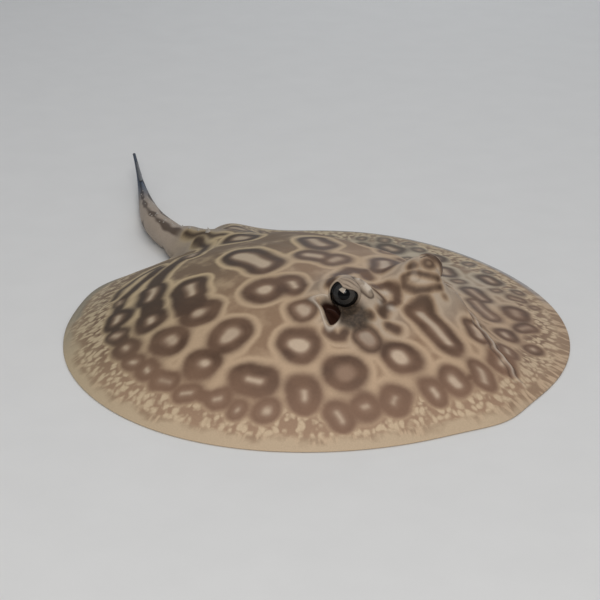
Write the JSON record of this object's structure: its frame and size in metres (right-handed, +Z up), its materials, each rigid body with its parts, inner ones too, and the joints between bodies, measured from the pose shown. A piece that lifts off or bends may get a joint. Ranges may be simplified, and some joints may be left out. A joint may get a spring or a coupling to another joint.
{
  "type": "freshwater stingray",
  "caption": "Life-size freshwater stingray resting on the floor: round domed disc with spread fins, raised eyes, curved tapering tail with thorns and a sting.",
  "frame": {"origin": "on the flat of the belly at floor level, on the midline, abreast of the middle of the disc", "axes": "+X forward along the midline to the snout, +Y to the animal's left, +Z up"},
  "size_m": [0.3873, 0.243, 0.0475],
  "materials": {
    "skin_head": "wet skin, brown rings on cream",
    "skin_trunk": "wet skin, brown rings on cream",
    "skin_fins": "wet skin, brown rings on cream",
    "skin_pelvic": "thin pale skin",
    "skin_tail": "wet skin, grey with dark blotches",
    "sting": "ivory dentine",
    "eyes": "glossy"
  },
  "bodies": {
    "root": {"head": "skin_head", "trunk": "skin_trunk", "pectoral_fin_left": "skin_fins", "pectoral_fin_right": "skin_fins", "pelvic_fin_left": "skin_pelvic", "pelvic_fin_right": "skin_pelvic", "tail_base": "skin_tail", "tail_middle": "skin_tail", "tail_tip": "skin_tail", "sting": "sting", "eye_left": "eyes", "eye_right": "eyes"}
  },
  "joints": []
}
